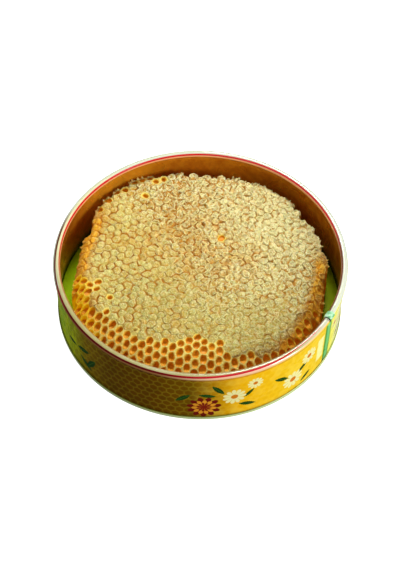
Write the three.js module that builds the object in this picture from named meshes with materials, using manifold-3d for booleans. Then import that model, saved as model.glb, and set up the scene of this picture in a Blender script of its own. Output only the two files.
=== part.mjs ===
// A round piece of honeycomb in the open printed tin it was built in.
// Millimetres, +Z up. The origin is the middle of the tin's foot ring, on the surface it stands on.
import * as THREE from 'three';
import { mergeVertices } from 'three/addons/utils/BufferGeometryUtils.js';
import Module from 'manifold-3d';

// ---- Tin ----
const TIN = {
  radius: 99.6,            // outside of the wall
  sheet: 0.4,              // tinplate with its lacquer and print
  air: 0.3,                // gap kept between pieces that touch
  facets: 66,              // round the tin
};
const CURL = {
  middle: [98.2, 46.8],    // radius and height of the middle of the rolled rim
  section: 2.45,           // radius of the roll
  lip: 228,                // degrees round the roll at which the sheet ends
};
const BASE = {
  floor: 2.2,              // upper face
  channel: 0.7,            // bottom of the groove that holds the wall's foot
  leg: 0.8,                // thickness of the foot ring inside the groove
  flange: 0.5,             // thickness of the edge turned up round the wall's foot
  flangeTop: 3.0,
  round: 0.3,              // easing of the flange's corners
};
const SEAM = {
  azimuth: -29.9,          // degrees, the wall's upright lock seam
  width: 8.4,
  proud: 0.5,              // the folded layers stand out this far
  lap: 0.3,                // the strip runs this far into the sheet it is joined to
  notchAt: -1.4,           // middle of the corner notch through the rolled rim, along the wall
  notchWidth: 1.7,
  notchDepth: 2.2,
};

// ---- Honeycomb ----
const COMB = {
  top: 34.5,               // height of the caps' edges in the middle
  crown: 0.7,              // the top is this much lower at the edge, before its shoulder
  roll: 1.5,               // power of the shoulder's curve
  foot: BASE.floor + TIN.air,
  waist: 0.5,              // height of the side's middle ring, of the edge's height
  footBlend: 0.55,         // how far the outline's zigzag has faded at the foot
};
const CELL = {
  pitch: 6.0,              // from cell to cell
  rows: 24,                // degrees, direction of one row of cells
  capRise: [0.55, 1.25],   // how far the wax caps bulge, least and most
  wall: 0.7,               // the lip between two open cells
  depth: 4.6,              // from an open cell's mouth to the honey in it
  taper: 0.86,             // width at the honey, of the width at the mouth
  jitter: 0.34,            // unevenness of the cells' corners
  inset: 1.8,              // the outermost cells' middles lie at least this far inside the outline
  ragged: 0.8,             // and their corners at most this far outside it
};
// Slow bending of the rows, as a sine across each axis: height, length / 2 pi, start.
const WANDER = { x: [0.9, 17, 0.6], y: [0.9, 21, -1.1] };

// The comb's plan, one row for each direction: azimuth in degrees, outline radius, radius
// where the rounded shoulder starts, its drop at the outline, and the radius within which
// the cells are capped.
const COLUMN = { edge: 1, shoulder: 2, drop: 3, capped: 4 };
const PLAN = [
  [-176, 88.5, 80, 10, 85], [-167, 89, 79, 11, 67], [-157, 90, 77, 12, 80], [-146, 90.5, 72, 14, 71],
  [-131, 90.5, 66, 16, 71], [-113, 90.5, 63, 16, 65], [-94, 90.5, 62, 13, 56], [-79, 90.5, 66, 12, 62],
  [-68, 90.5, 70, 12, 77], [-50, 90.5, 76, 12, 83], [-30, 89, 76, 12, 84], [-10, 87.5, 79, 9, 90],
  [6, 89, 85, 4, 95], [24, 89, 86, 2, 95], [50, 92.5, 89, 2, 96], [74, 91, 88, 2, 96],
  [94, 92.5, 89, 2, 96], [109, 94.5, 91, 2, 88], [121, 97, 93, 2, 90], [138, 94.5, 91, 2, 89],
  [149, 90.5, 86, 3, 88], [160, 88, 81, 7, 88],
];
// Cells that stand open among the capped ones: x, y.
const LONE_CELLS = [[-42.7, 68.1], [-61.1, -29.4], [14.4, 28.4]];

const wasm = await Module();
wasm.setup();

const radians = (degrees) => (degrees * Math.PI) / 180;
const degrees = (angle) => (angle * 180) / Math.PI;
const mix = (from, to, share) => from + (to - from) * share;

// ---- Solids from geometries and back ----

function toSolid(geometry) {
  const bare = geometry.clone();
  for (const name of ['normal', 'uv']) bare.deleteAttribute(name);
  const merged = mergeVertices(bare, 1e-4);
  return new wasm.Manifold(new wasm.Mesh({
    numProp: 3,
    vertProperties: new Float32Array(merged.attributes.position.array),
    triVerts: new Uint32Array(merged.index.array),
  }));
}

function toGeometry(solid) {
  const { vertProperties, triVerts } = solid.getMesh();
  return indexed(vertProperties, triVerts);
}

function indexed(positions, triangles) {
  const geometry = new THREE.BufferGeometry();
  geometry.setAttribute('position', new THREE.Float32BufferAttribute(positions, 3));
  geometry.setIndex(Array.from(triangles));
  geometry.computeVertexNormals();
  return geometry;
}

// ---- Tin ----

// A ring turned about +Z from a profile of [radius, height] points.
function turned(profile) {
  const points = profile.map(([radius, height]) => new THREE.Vector2(radius, height));
  return new THREE.LatheGeometry(points, TIN.facets).rotateX(Math.PI / 2);
}

function arc(middle, radius, from, to, steps) {
  return Array.from({ length: steps + 1 }, (_, k) => {
    const turn = radians(mix(from, to, k / steps));
    return [middle[0] + radius * Math.cos(turn), middle[1] + radius * Math.sin(turn)];
  });
}

// A block at the seam's azimuth between two radii and two heights, `along` the wall from the
// seam's middle.
function seamBlock(inner, outer, bottom, top, along, width) {
  const block = new THREE.BoxGeometry(outer - inner, width, top - bottom);
  block.translate((inner + outer) / 2, along, (bottom + top) / 2);
  return toSolid(block.rotateZ(radians(SEAM.azimuth)));
}

// The body: one sheet from the foot to the rim, rolled inward round a hollow curl, with the
// folded lock seam up its outside and the corner notch beside it.
function tinWall() {
  const { middle, section, lip } = CURL;
  const inside = TIN.radius - TIN.sheet;
  const hollow = section - TIN.sheet;
  const bottom = BASE.channel + TIN.air;
  const outsideLeaves = -degrees(Math.acos((TIN.radius - middle[0]) / section));
  const insideLeaves = -degrees(Math.acos((inside - middle[0]) / hollow));
  const body = toSolid(turned([
    [inside, bottom],
    [TIN.radius, bottom],
    ...arc(middle, section, outsideLeaves, lip, 9),
    ...arc(middle, hollow, lip, insideLeaves, 7),
    [inside, bottom],
  ]));
  const seamTop = middle[1] - section / 2;
  const strip = seamBlock(TIN.radius - SEAM.lap, TIN.radius + SEAM.proud, BASE.flangeTop + TIN.air,
    seamTop, 0, SEAM.width);
  const rimTop = middle[1] + section;
  const notch = seamBlock(middle[0] - 2 * section, middle[0] + 2 * section, rimTop - SEAM.notchDepth,
    rimTop + section, SEAM.notchAt, SEAM.notchWidth);
  return toGeometry(body.add(strip).subtract(notch));
}

// The base: a floor with an outer groove, turned up round the wall's foot.
function tinBase() {
  const under = BASE.floor - TIN.sheet;
  const legOutside = TIN.radius - TIN.sheet - TIN.air;
  const legInside = legOutside - BASE.leg;
  const flangeInside = TIN.radius + TIN.air;
  const flangeOutside = flangeInside + BASE.flange;
  return turned([
    [0, under],
    [legInside, under],
    [legInside, 0],
    [flangeOutside - BASE.round, 0],
    [flangeOutside, BASE.round],
    [flangeOutside, BASE.flangeTop - BASE.round],
    [flangeOutside - BASE.round, BASE.flangeTop],
    [flangeInside, BASE.flangeTop],
    [flangeInside, BASE.channel],
    [legOutside, BASE.channel],
    [legOutside, BASE.floor],
    [0, BASE.floor],
  ]);
}

// ---- Honeycomb ----

const azimuthOf = (x, y) => degrees(Math.atan2(y, x));

// A value of the plan at an azimuth, eased from row to row.
function planValue(azimuth, column) {
  const ahead = (from) => (azimuth - from + 720) % 360;
  const nearest = PLAN.reduce((best, row, k) => (ahead(row[0]) < ahead(PLAN[best][0]) ? k : best), 0);
  const from = PLAN[nearest];
  const to = PLAN[(nearest + 1) % PLAN.length];
  const share = ahead(from[0]) / ((to[0] - from[0] + 360) % 360);
  return mix(from[column], to[column], share * share * (3 - 2 * share));
}

// Height of the comb's top: a slight crown that rolls over into the shoulder.
function combHeight(x, y) {
  const radius = Math.hypot(x, y);
  const azimuth = azimuthOf(x, y);
  const start = planValue(azimuth, COLUMN.shoulder);
  const edge = planValue(azimuth, COLUMN.edge);
  const past = Math.max((radius - start) / (edge - start), 0);
  return COMB.top - COMB.crown * (radius / edge) ** 2 - planValue(azimuth, COLUMN.drop) * past ** COMB.roll;
}

// A repeatable uneven value between 0 and 1 for a place, given to the nearest millimetre.
function uneven(x, y) {
  const value = Math.sin(Math.round(x) * 12.9898 + Math.round(y) * 78.233) * 43758.5453;
  return value - Math.floor(value);
}

// Bends the regular rows of cells as bees do, unsettles each corner a little, and keeps it
// within the outline.
function bent(x, y) {
  const wave = ([height, length, start], at) => height * Math.sin(at / length + start);
  const bentX = x + wave(WANDER.x, y) + CELL.jitter * (2 * uneven(x, y) - 1);
  const bentY = y + wave(WANDER.y, x) + CELL.jitter * (2 * uneven(y, x) - 1);
  const limit = planValue(azimuthOf(bentX, bentY), COLUMN.edge) + CELL.ragged;
  const factor = Math.min(limit / Math.hypot(bentX, bentY), 1);
  return [bentX * factor, bentY * factor];
}

function isOpen(x, y) {
  if (LONE_CELLS.some((cell) => Math.hypot(x - cell[0], y - cell[1]) < CELL.pitch / 2)) return true;
  return Math.hypot(x, y) > planValue(azimuthOf(x, y), COLUMN.capped);
}

// Middles of the regular cells inside the outline, before they are bent.
function cellMiddles() {
  const middles = [];
  const along = radians(CELL.rows);
  const across = radians(CELL.rows + 60);
  const reach = Math.ceil((2 * TIN.radius) / CELL.pitch);
  for (let i = -reach; i <= reach; i += 1) {
    for (let j = -reach; j <= reach; j += 1) {
      const x = CELL.pitch * (i * Math.cos(along) + j * Math.cos(across));
      const y = CELL.pitch * (i * Math.sin(along) + j * Math.sin(across));
      const limit = planValue(azimuthOf(x, y), COLUMN.edge) - CELL.inset;
      if (Math.hypot(x, y) <= limit) middles.push([x, y]);
    }
  }
  return middles;
}

// The open edge of a sheet of triangles, as one loop of corners that runs with the sheet.
function outlineOf(triangles) {
  const edges = triangles.map((from, k) => [from, triangles[k % 3 === 2 ? k - 2 : k + 1]]);
  const shared = new Set(edges.map(([from, to]) => `${to},${from}`));
  const following = new Map(edges.filter(([from, to]) => !shared.has(`${from},${to}`)));
  const loop = [following.keys().next().value];
  while (following.get(loop.at(-1)) !== loop[0]) loop.push(following.get(loop.at(-1)));
  return loop;
}

// The comb is one solid: its top is a sheet of six-sided cells, capped or open, and its side
// drops from the zigzag of the outermost cells to a flat foot.
function honeycomb() {
  const positions = [];
  const triangles = [];
  const corners = new Map();
  const addPoint = (x, y, z) => positions.push(x, y, z) / 3 - 1;
  const pointAt = (index) => positions.slice(index * 3, index * 3 + 3);

  const cornerAt = (x, y) => {
    const key = `${Math.round(x * 100)},${Math.round(y * 100)}`;
    if (!corners.has(key)) {
      const [bentX, bentY] = bent(x, y);
      corners.set(key, addPoint(bentX, bentY, combHeight(bentX, bentY)));
    }
    return corners.get(key);
  };

  const addCap = (ring, x, y) => {
    const peak = addPoint(x, y, combHeight(x, y) + mix(...CELL.capRise, uneven(x, y)));
    ring.forEach((corner, k) => triangles.push(corner, ring[(k + 1) % 6], peak));
  };

  const addPit = (ring, x, y) => {
    const inward = (factor, height) => ring.map((corner) => {
      const [cx, cy, cz] = pointAt(corner);
      return addPoint(mix(x, cx, factor), mix(y, cy, factor), height ?? cz);
    });
    const lip = 1 - CELL.wall / CELL.pitch;
    const mouth = inward(lip);
    const honey = inward(lip * CELL.taper, combHeight(x, y) - CELL.depth);
    for (let k = 0; k < 6; k += 1) {
      const next = (k + 1) % 6;
      triangles.push(ring[k], ring[next], mouth[next], ring[k], mouth[next], mouth[k]);
      triangles.push(mouth[k], mouth[next], honey[next], mouth[k], honey[next], honey[k]);
    }
    for (let k = 1; k < 5; k += 1) triangles.push(honey[0], honey[k], honey[k + 1]);
  };

  const side = CELL.pitch / Math.sqrt(3);
  for (const [x, y] of cellMiddles()) {
    const ring = Array.from({ length: 6 }, (_, k) => {
      const turn = radians(CELL.rows + 30 + 60 * k);
      return cornerAt(x + side * Math.cos(turn), y + side * Math.sin(turn));
    });
    const middle = [0, 1].map((axis) => ring.reduce((sum, c) => sum + pointAt(c)[axis], 0) / 6);
    if (isOpen(x, y)) addPit(ring, ...middle);
    else addCap(ring, ...middle);
  }

  const rim = outlineOf(triangles);
  const lowered = (share, height) => rim.map((corner) => {
    const [x, y, z] = pointAt(corner);
    const radius = Math.hypot(x, y);
    const factor = mix(radius, planValue(azimuthOf(x, y), COLUMN.edge), share) / radius;
    return addPoint(x * factor, y * factor, height ?? z * COMB.waist);
  });
  const waist = lowered(COMB.footBlend / 2);
  const foot = lowered(COMB.footBlend, COMB.foot);
  for (const [upper, lower] of [[rim, waist], [waist, foot]]) {
    upper.forEach((corner, k) => {
      const next = (k + 1) % upper.length;
      triangles.push(lower[k], lower[next], upper[next], lower[k], upper[next], corner);
    });
  }
  const sole = foot.map((corner) => new THREE.Vector2(...pointAt(corner)));
  for (const [a, b, c] of THREE.ShapeUtils.triangulateShape(sole, [])) {
    triangles.push(foot[a], foot[c], foot[b]);
  }
  return indexed(positions, triangles);
}

// ---- The part ----

const materials = {
  print: new THREE.MeshStandardMaterial({ color: 0xf2b90f, roughness: 0.35, metalness: 0.1 }),
  lacquer: new THREE.MeshStandardMaterial({ color: 0x5f7a0c, roughness: 0.4, metalness: 0.1 }),
  wax: new THREE.MeshStandardMaterial({ color: 0xdfc17b, roughness: 0.6, metalness: 0 }),
};

const part = new THREE.Group();
for (const [name, geometry, material] of [
  ['tin_wall', tinWall(), materials.print],
  ['tin_base', tinBase(), materials.lacquer],
  ['honeycomb', honeycomb(), materials.wax],
]) {
  const mesh = new THREE.Mesh(geometry, material);
  mesh.name = name;
  part.add(mesh);
}

export default part;
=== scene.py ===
"""A round piece of honeycomb in the open printed tin it was built in.

Tables and shapes are in millimetres, +Z up, from the middle of the tin's foot ring; a finished
mesh is put into Blender in metres, so every object sits at the origin.
"""
import math

import bpy
import numpy as np
from mathutils import Matrix, Vector


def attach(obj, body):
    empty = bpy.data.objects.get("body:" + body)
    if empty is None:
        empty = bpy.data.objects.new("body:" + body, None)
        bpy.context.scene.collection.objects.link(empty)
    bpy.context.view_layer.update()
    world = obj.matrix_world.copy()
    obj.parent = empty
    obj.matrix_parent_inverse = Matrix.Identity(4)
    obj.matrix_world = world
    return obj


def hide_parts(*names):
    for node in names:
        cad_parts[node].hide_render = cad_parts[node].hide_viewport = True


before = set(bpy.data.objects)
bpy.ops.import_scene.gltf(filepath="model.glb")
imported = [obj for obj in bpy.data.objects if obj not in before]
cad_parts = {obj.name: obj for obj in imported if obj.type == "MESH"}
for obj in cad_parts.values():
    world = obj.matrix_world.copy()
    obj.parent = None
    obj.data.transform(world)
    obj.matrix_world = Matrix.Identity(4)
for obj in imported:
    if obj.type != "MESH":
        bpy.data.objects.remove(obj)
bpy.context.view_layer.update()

MM = 0.001

# ---- Sizes shared with the solids ----

WALL_OUTSIDE = 99.6
SHEET = 0.4
WALL_INSIDE = WALL_OUTSIDE - SHEET
CURL_RADIUS, CURL_HEIGHT, CURL_SECTION = 98.2, 46.8, 2.45
CURL_LIP = 228.0          # degrees round the roll at which the sheet ends
FLOOR = 2.2
FLANGE_TOP = 3.0
SEAM_AZIMUTH = -29.9
SEAM_WIDTH, SEAM_PROUD = 8.4, 0.5
NOTCH_AT, NOTCH_WIDTH, NOTCH_DEPTH = -1.4, 1.7, 2.2

COMB_TOP, COMB_CROWN, COMB_ROLL = 34.5, 0.7, 1.5
COMB_FOOT = FLOOR + 0.3
FOOT_BLEND = 0.55
PITCH = 6.0
ROW_TURN = 24.0
JITTER = 0.34
INSET = 1.8
RAGGED = 0.8
WANDER_X, WANDER_Y = (0.9, 17.0, 0.6), (0.9, 21.0, -1.1)

# One row for each direction: azimuth, outline radius, radius where the shoulder starts, its
# drop at the outline, and the radius within which the cells are capped.
EDGE, SHOULDER, DROP, CAPPED = 1, 2, 3, 4
PLAN = np.array([
    [-176, 88.5, 80, 10, 85], [-167, 89, 79, 11, 67], [-157, 90, 77, 12, 80],
    [-146, 90.5, 72, 14, 71], [-131, 90.5, 66, 16, 71], [-113, 90.5, 63, 16, 65],
    [-94, 90.5, 62, 13, 56], [-79, 90.5, 66, 12, 62], [-68, 90.5, 70, 12, 77],
    [-50, 90.5, 76, 12, 83], [-30, 89, 76, 12, 84], [-10, 87.5, 79, 9, 90],
    [6, 89, 85, 4, 95], [24, 89, 86, 2, 95], [50, 92.5, 89, 2, 96], [74, 91, 88, 2, 96],
    [94, 92.5, 89, 2, 96], [109, 94.5, 91, 2, 88], [121, 97, 93, 2, 90], [138, 94.5, 91, 2, 89],
    [149, 90.5, 86, 3, 88], [160, 88, 81, 7, 88],
], float)
LONE_CELLS = np.array([[-42.7, 68.1], [-61.1, -29.4], [14.4, 28.4]])

# ---- Sizes of the finer forms ----

PER_EDGE = 3                               # border points on each of a cell's six edges
AROUND = 6 * PER_EDGE
CAP_RINGS = (0.95, 0.85, 0.70, 0.52, 0.28)  # of the way from a cell's middle to its border
# Open cell, ring by ring: share of the way to the border where the walls are thick and where
# they are thin, roundness, drop below the mouth's plane, share of the way down to the honey,
# and how deep its colour is.
PIT_RINGS = (
    (0.90, 0.93, 0.1, -0.22, 0.0, 0.0), (0.79, 0.86, 0.4, -0.14, 0.0, 0.08),
    (0.73, 0.81, 0.7, 0.20, 0.0, 0.24), (0.70, 0.78, 0.85, 0.5, 0.2, 0.42),
    (0.67, 0.75, 0.9, 0.5, 0.6, 0.7), (0.65, 0.73, 0.95, 0.0, 0.93, 0.95),
    (0.57, 0.64, 1.0, 0.0, 1.0, 1.0), (0.32, 0.35, 1.0, 0.0, 1.03, 1.0),
)
HONEY_BANDS = (5, 6, 7, 8)                 # bands between an open cell's rings that are honey
PIT_DEPTH = 2.9
SHALLOW = np.array([[14.4, 28.4, 1.4], [79.1, -35.4, 1.0], [77.9, -42.0, 1.2]])
PIERCED = np.array([[-44.1, -54.5]])
SIDE_ROWS = 12
THREAD_STEPS = 9
WALL_POINTS, ROLL_OUT, ROLL_IN = 12, 30, 20  # points of the wall's profile, part by part
WALL_AROUND, BASE_AROUND = 300, 240        # steps round the tin
SEAM_ROWS, TONGUE_ROWS = 14, 26
TONGUE_AT, TONGUE_WIDTH, TONGUE_PROUD = 1.75, 5.9, 0.55  # the seam's tongue over the roll

rng = np.random.default_rng(41)


# ---- Helpers for shapes ----

def unit(value):
    """The value kept from 0 to 1."""
    return np.clip(value, 0, 1)


def eased(share):
    """3 s^2 - 2 s^3 of a share kept from 0 to 1, which leaves and arrives level."""
    share = unit(share)
    return share * share * (3 - 2 * share)


def mix(start, end, share):
    """From start to end in proportion to the share."""
    return start + (end - start) * share


def scatter_value(i, j, seed=0.0):
    """A repeatable value from 0 to 1 for a pair of whole numbers: the fraction of a large sine."""
    value = np.sin(i * 12.9898 + j * 78.233 + seed * 37.719) * 43758.5453
    return value - np.floor(value)


def uneven(x, y):
    """The scattered value of the nearest pair of whole numbers."""
    return scatter_value(np.floor(x + 0.5), np.floor(y + 0.5))


def soft_noise(x, y, size, seed):
    """Smooth noise from -1 to 1: scattered values at the corners of squares of one size, eased
    from corner to corner."""
    u, v = x / size, y / size
    i, j = np.floor(u), np.floor(v)
    low, high = (mix(scatter_value(i, row, seed), scatter_value(i + 1, row, seed), eased(u - i))
                 for row in (j, j + 1))
    return 2 * mix(low, high, eased(v - j)) - 1


def blob(x, y, cx, cy, radius):
    """A soft round patch: e to the power of minus the square of distance over radius."""
    return np.exp(-((x - cx) ** 2 + (y - cy) ** 2) / radius ** 2)


def near(x, y, places, reach):
    """True where a point lies within reach of one of the places."""
    return (np.hypot(x[:, None] - places[:, 0], y[:, None] - places[:, 1]) < reach).any(1)


def new_object(name, data):
    """An object linked to the scene."""
    made = bpy.data.objects.new(name, data)
    bpy.context.scene.collection.objects.link(made)
    return made


def put(name, points, faces, materials, values=None, smooth=True):
    """Makes a piece from points in millimetres and arrays of faces, with named values on its
    points. A number that follows an array of faces is their material's place in the list."""
    mesh = bpy.data.meshes.new(name)
    face_lists, numbers = [], []
    for group in faces:
        array, number = group if isinstance(group, tuple) else (group, 0)
        face_lists += array.tolist()
        numbers += [number] * len(array)
    mesh.from_pydata((points * MM).tolist(), [], face_lists)
    for label, value in (values or {}).items():
        layer = mesh.attributes.new(label, "FLOAT", "POINT")
        layer.data.foreach_set("value", np.asarray(value, np.float32).ravel())
    for material in materials:
        mesh.materials.append(material)
    mesh.polygons.foreach_set("material_index", np.array(numbers, np.int32))
    mesh.polygons.foreach_set("use_smooth", np.full(len(numbers), smooth))
    mesh.update()
    return new_object(name, mesh)


def grid_faces(rows, columns, start=0, closed=True):
    """Four-sided faces between the rows of a grid of points, whose columns may join up."""
    row, column = np.meshgrid(np.arange(rows - 1), np.arange(columns - (not closed)), indexing="ij")
    after = (column + 1) % columns
    corners = [row * columns + column, row * columns + after,
               (row + 1) * columns + after, (row + 1) * columns + column]
    return start + np.stack(corners, -1).reshape(-1, 4)


# ---- The comb's plan and lattice ----

def azimuth_of(x, y):
    """Degrees from +X towards +Y: the angle whose tangent is y over x."""
    return np.degrees(np.arctan2(y, x))


def plan(x, y, column):
    """A column of the plan in the direction of a place, eased from row to row."""
    azimuth = azimuth_of(x, y)
    before = np.searchsorted(PLAN[:, 0], azimuth, side="right") - 1
    start, end = PLAN[before], PLAN[(before + 1) % len(PLAN)]
    share = ((azimuth - start[..., 0]) % 360) / ((end[..., 0] - start[..., 0]) % 360)
    return mix(start[..., column], end[..., column], eased(share))


def past_shoulder(x, y):
    """0 up to where the shoulder starts, growing evenly to 1 at the outline."""
    start, edge = plan(x, y, SHOULDER), plan(x, y, EDGE)
    return np.maximum((np.hypot(x, y) - start) / (edge - start), 0)


def comb_height(x, y):
    """Height of the comb's top: a slight crown that rolls over into the shoulder."""
    crown = COMB_CROWN * (np.hypot(x, y) / plan(x, y, EDGE)) ** 2
    return COMB_TOP - crown - plan(x, y, DROP) * past_shoulder(x, y) ** COMB_ROLL


def slope_of_shoulder(x, y):
    """How steep the shoulder is: 0 on the flat, growing outwards to its drop over the largest."""
    return unit(past_shoulder(x, y)) * plan(x, y, DROP) / PLAN[:, DROP].max()


def restless(x, y):
    """0 where the caps are smooth cushions, 1 where they are wrinkled and ridged: a slow slope
    from the front left to the back right, with a calm patch at the front right."""
    return eased((x + 0.6 * y + 38) / 62) * (1 - 0.85 * blob(x, y, 46, -52, 42))


def right_flank(x, y):
    """1 on the steep right shoulder, easing to 0 inwards and round the outline."""
    return (eased(1 - (np.abs(azimuth_of(x, y) + 20) - 24) / 14)
            * eased((np.hypot(x, y) - plan(x, y, EDGE) + 15) / 9))


def amber_of(x, y):
    """Where honey shows through thin wax: on the steep left and right shoulders, and in soft
    patches behind the middle."""
    from_left = np.abs((azimuth_of(x, y) - 178 + 180) % 360 - 180)
    left = (eased(1 - (from_left - 24) / 18)
            * eased((np.hypot(x, y) - plan(x, y, EDGE) + 17) / 11))
    inner = sum(share * blob(x, y, *place) for share, place in (
        (0.85, (6, 30, 26)), (0.85, (3, 8, 20)), (0.60, (28, 12, 18)), (0.35, (42, 60, 14)),
        (0.50, (-25, 45, 24)), (0.35, (-8, 62, 20)), (0.50, (-30, 10, 22)), (0.25, (-58, 20, 20)),
        (0.30, (-22, -44, 26))))
    patchy = unit(0.35 + 0.9 * soft_noise(x, y, 6, 12))
    return np.clip(1.25 * np.maximum(left, 1.1 * right_flank(x, y))
                   + np.minimum(inner * (0.3 + 0.9 * patchy), 0.74), 0, 1.2)


def dull_of(x, y):
    """Painted shade: where the caps are darker and duller khaki, in soft patches along the front."""
    return unit(0.85 * blob(x, y, 40, -50, 34) + 1.15 * blob(x, y, -28, -40, 37))


def bent(x, y):
    """The regular rows bent by a slow sine across each axis, each corner unsettled a little and
    kept within the outline."""
    bent_x = (x + WANDER_X[0] * np.sin(y / WANDER_X[1] + WANDER_X[2])
              + JITTER * (2 * uneven(x, y) - 1))
    bent_y = (y + WANDER_Y[0] * np.sin(x / WANDER_Y[1] + WANDER_Y[2])
              + JITTER * (2 * uneven(y, x) - 1))
    limit = plan(bent_x, bent_y, EDGE) + RAGGED
    factor = np.minimum(limit / np.hypot(bent_x, bent_y), 1)
    return bent_x * factor, bent_y * factor


class Lattice:
    """The comb's cells: their middles, and a border of points that neighbours share."""

    NAME = 10000          # two whole numbers a and b are named together as NAME * a + b

    def __init__(self):
        """Middles at i times one row direction plus j times another, 60 degrees from it; corners at
        thirds of both directions, then bent and unsettled; and points at even steps along the
        edges, pushed aside by smooth noise."""
        reach = math.ceil(2 * WALL_OUTSIDE / PITCH)
        i, j = (grid.ravel() for grid in np.meshgrid(*[np.arange(-reach, reach + 1)] * 2))
        along, across = (np.array([math.cos(turn), math.sin(turn)]) * PITCH
                         for turn in (math.radians(ROW_TURN), math.radians(ROW_TURN + 60)))
        x, y = (i * along[k] + j * across[k] for k in (0, 1))
        kept = np.hypot(x, y) <= plan(x, y, EDGE) - INSET
        i, j, x, y = i[kept], j[kept], x[kept], y[kept]
        self.count = len(x)
        self.open = near(x, y, LONE_CELLS, PITCH / 2) | (np.hypot(x, y) > plan(x, y, CAPPED))
        # Corners, in thirds of the two row directions, so that neighbours name them alike.
        thirds = np.array([[1, 1], [-1, 2], [-2, 1], [-1, -1], [1, -2], [2, -1]])
        a, b = 3 * i[:, None] + thirds[:, 0], 3 * j[:, None] + thirds[:, 1]
        names, corner = np.unique(a * self.NAME + b, return_inverse=True)
        corner = corner.reshape(self.count, 6)
        b_kept = (names + self.NAME // 2) % self.NAME - self.NAME // 2
        a_kept = (names - b_kept) // self.NAME
        corner_x, corner_y = bent(*((a_kept * along[k] + b_kept * across[k]) / 3 for k in (0, 1)))
        # A corner of three cells strays further, though less beside an open cell.
        whole = np.bincount(corner.ravel(), minlength=len(names)) == 3
        beside_open = near(corner_x, corner_y, np.stack([x[self.open], y[self.open]], -1), PITCH)
        loose = whole * np.where(beside_open, 0.30, 0.62)
        corner_x = corner_x + loose * (2 * scatter_value(a_kept, b_kept, 7) - 1)
        corner_y = corner_y + loose * (2 * scatter_value(a_kept, b_kept, 8) - 1)
        self.middle = np.stack([corner_x[corner].mean(1), corner_y[corner].mean(1)], -1)
        # Points along the edges, shared by the two cells of an edge.
        start, end = corner, np.roll(corner, -1, 1)
        edge_names, edge = np.unique(
            np.minimum(start, end) * self.NAME + np.maximum(start, end), return_inverse=True)
        low, high = edge_names // self.NAME, edge_names % self.NAME
        run_x, run_y = corner_x[high] - corner_x[low], corner_y[high] - corner_y[low]
        mid_x, mid_y = (corner_x[high] + corner_x[low]) / 2, (corner_y[high] + corner_y[low]) / 2
        outwards = (np.abs(run_x * mid_x + run_y * mid_y)
                    / (np.hypot(run_x, run_y) * np.hypot(mid_x, mid_y) + 1e-6))
        inner_points = PER_EDGE - 1
        # 1 where an edge runs round the comb, 0 where it runs outwards; and a value for each edge.
        self.crosswise = np.append(np.zeros(len(names)), np.repeat((1 - outwards) ** 1.5, inner_points))
        self.edge_name = np.append(np.ones(len(names)),
                                   np.repeat(scatter_value(low, high, 11), inner_points))
        steps = np.arange(1, PER_EDGE) / PER_EDGE
        edge_x = mix(corner_x[low][:, None], corner_x[high][:, None], steps).ravel()
        edge_y = mix(corner_y[low][:, None], corner_y[high][:, None], steps).ravel()
        edge_x, edge_y = (edge_x + 0.16 * soft_noise(edge_x, edge_y, 2.3, 5),
                          edge_y + 0.16 * soft_noise(edge_x, edge_y, 2.3, 6))
        order = np.where((start < end)[..., None], np.arange(inner_points),
                         np.arange(inner_points)[::-1])
        between = len(names) + edge.reshape(self.count, 6, 1) * inner_points + order
        self.border = np.concatenate([corner[..., None], between], -1).reshape(self.count, AROUND)
        self.x = np.concatenate([corner_x, edge_x])
        self.y = np.concatenate([corner_y, edge_y])
        self.points = len(self.x)
        # The outline: border steps that no neighbour takes the other way.
        here, after = self.border.ravel(), np.roll(self.border, -1, 1).ravel()
        lone = ~np.isin(here * self.points + after, after * self.points + here)
        self.outline = np.stack([here[lone], after[lone]], -1)

    def share(self, value):
        """The mean of the cells' values at each border point."""
        flat = self.border.ravel()
        total = np.bincount(flat, np.repeat(value, AROUND), self.points)
        return total / np.bincount(flat, minlength=self.points)


# ---- The comb ----

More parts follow.
